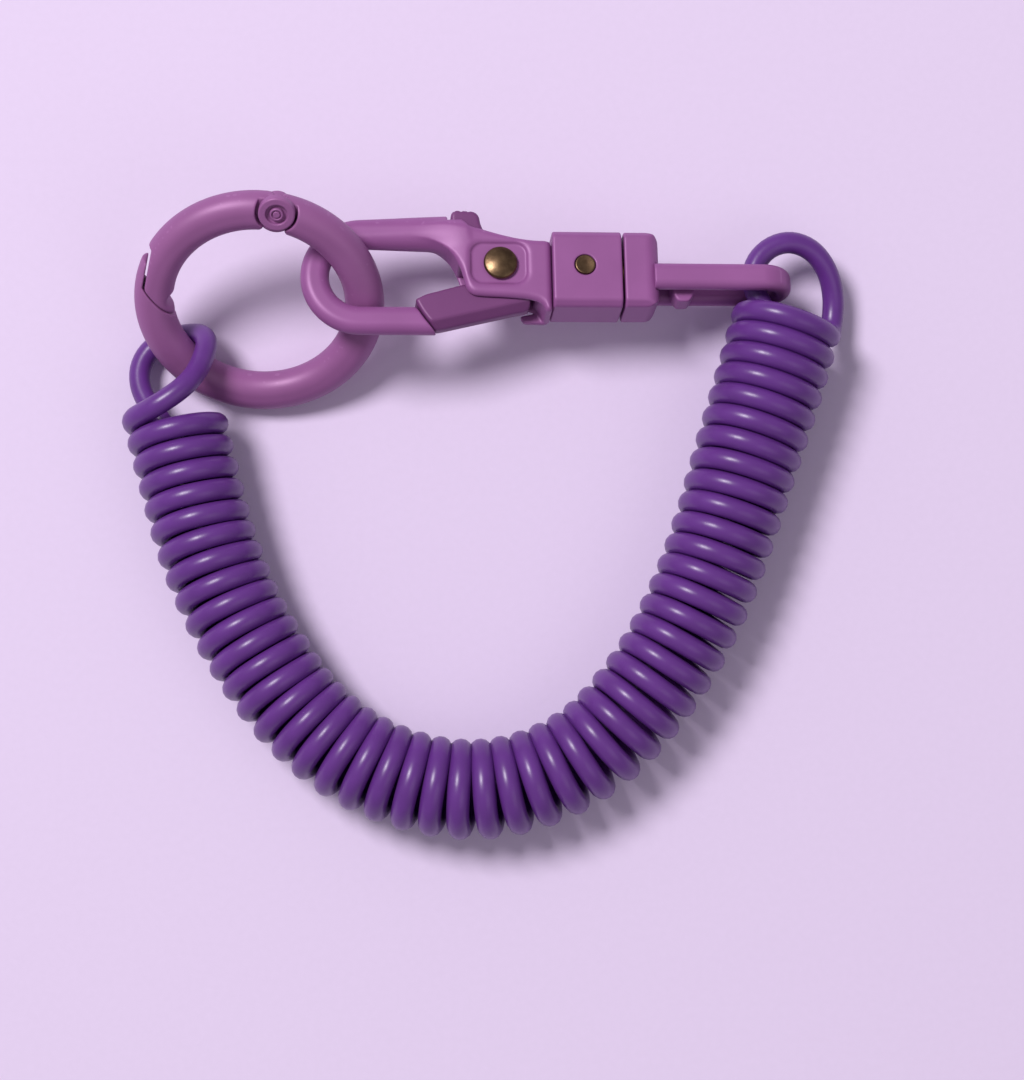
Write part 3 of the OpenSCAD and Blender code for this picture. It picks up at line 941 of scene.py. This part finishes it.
def make_swivel():
    build(
        "barrel_cast", barrel_field, (-5.8, -6.5, -5), (5.8, 6.5, 5), 0.17,
        HOOK_PLACE, "hook", ["barrel"], HOOK_PAINT,
    )
    build(
        "barrel_pin_head", barrel_pin_field, (-2.6, -1.8, -4.6), (1.8, 2.6, 5), 0.08,
        HOOK_PLACE, "hook", ["barrel_pin"], BRASS,
    )
    build(
        "swivel_cap_cast", cap_field, (5, -6.5, -5), (11.4, 6.5, 5), 0.15,
        HOOK_PLACE, "swivel", ["swivel_cap"], HOOK_PAINT,
    )
    build(
        "swivel_washer_disc", washer_field, (5.0, -3.8, -3.8), (5.8, 3.8, 3.8), 0.08,
        HOOK_PLACE, "hook", ["swivel_washer"], BRASS,
    )
    build(
        "post_key_block", key_field, (12.5, -4.9, -2.3), (16.8, 1.0, 2.3), 0.13,
        HOOK_PLACE, "swivel", ["post_key"], HOOK_PAINT,
    )
    build(
        "bail_loop", bail_field, (9.5, -3.8, -5.4), (31.8, 1.6, 5.4), 0.17,
        HOOK_PLACE, "swivel", ["bail"], HOOK_PAINT,
    )


# ---- CAD nodes that stay as they are ----

KEPT_NODES = {
    "ring_gate_spring": STEEL,
    "lever_rivet_cap": BRASS,
    "lever_spring": STEEL,
    "swivel_post": STEEL,
}


def finish_kept_nodes():
    for name, material in KEPT_NODES.items():
        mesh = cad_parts[name].data
        mesh.materials.clear()
        mesh.materials.append(material)


# ---- floor and light, in metres ----

FLOOR_HALF = 3.0
LIGHT_AIM = (0, -0.03, 0)


def make_floor():
    mesh = bpy.data.meshes.new("floor")
    s = FLOOR_HALF
    mesh.from_pydata([(-s, -s, 0), (s, -s, 0), (s, s, 0), (-s, s, 0)], [], [(0, 1, 2, 3)])
    floor = bpy.data.objects.new("floor", mesh)
    floor.location.z = -0.0001
    bpy.context.scene.collection.objects.link(floor)
    mesh.materials.append(floor_material("floor_card", (0.79, 0.655, 0.875)))


def add_light(name, place, size, power, colour):
    """A round soft light that faces the object."""
    data = bpy.data.lights.new(name, "AREA")
    data.shape = "DISK"
    data.size = size
    data.energy = power
    data.color = colour
    light = bpy.data.objects.new(name, data)
    light.location = place
    z = np.array(place) - np.array(LIGHT_AIM)
    z = z / np.linalg.norm(z)
    x = np.cross((0, 1, 0.01), z)
    x = x / np.linalg.norm(x)
    direction = Matrix(np.stack([x, np.cross(z, x), z], axis=1).tolist())
    light.rotation_euler = direction.to_euler()
    bpy.context.scene.collection.objects.link(light)


def make_light():
    add_light("key", (-0.6, 0.54, 1.25), 0.5, 18.8, (1.0, 0.98, 1.0))
    add_light("fill", (0.6, -0.4, 0.9), 0.8, 1.0, (1.0, 0.97, 1.0))
    world = bpy.data.worlds.new("studio")
    world.use_nodes = True
    background = world.node_tree.nodes["Background"]
    background.inputs["Color"].default_value = (0.95, 0.93, 1.0, 1)
    background.inputs["Strength"].default_value = 0.28
    bpy.context.scene.world = world
    bpy.context.scene.view_settings.view_transform = "Standard"


make_camera()
make_cord()
make_ring()
make_hook()
make_swivel()
finish_kept_nodes()
make_floor()
make_light()
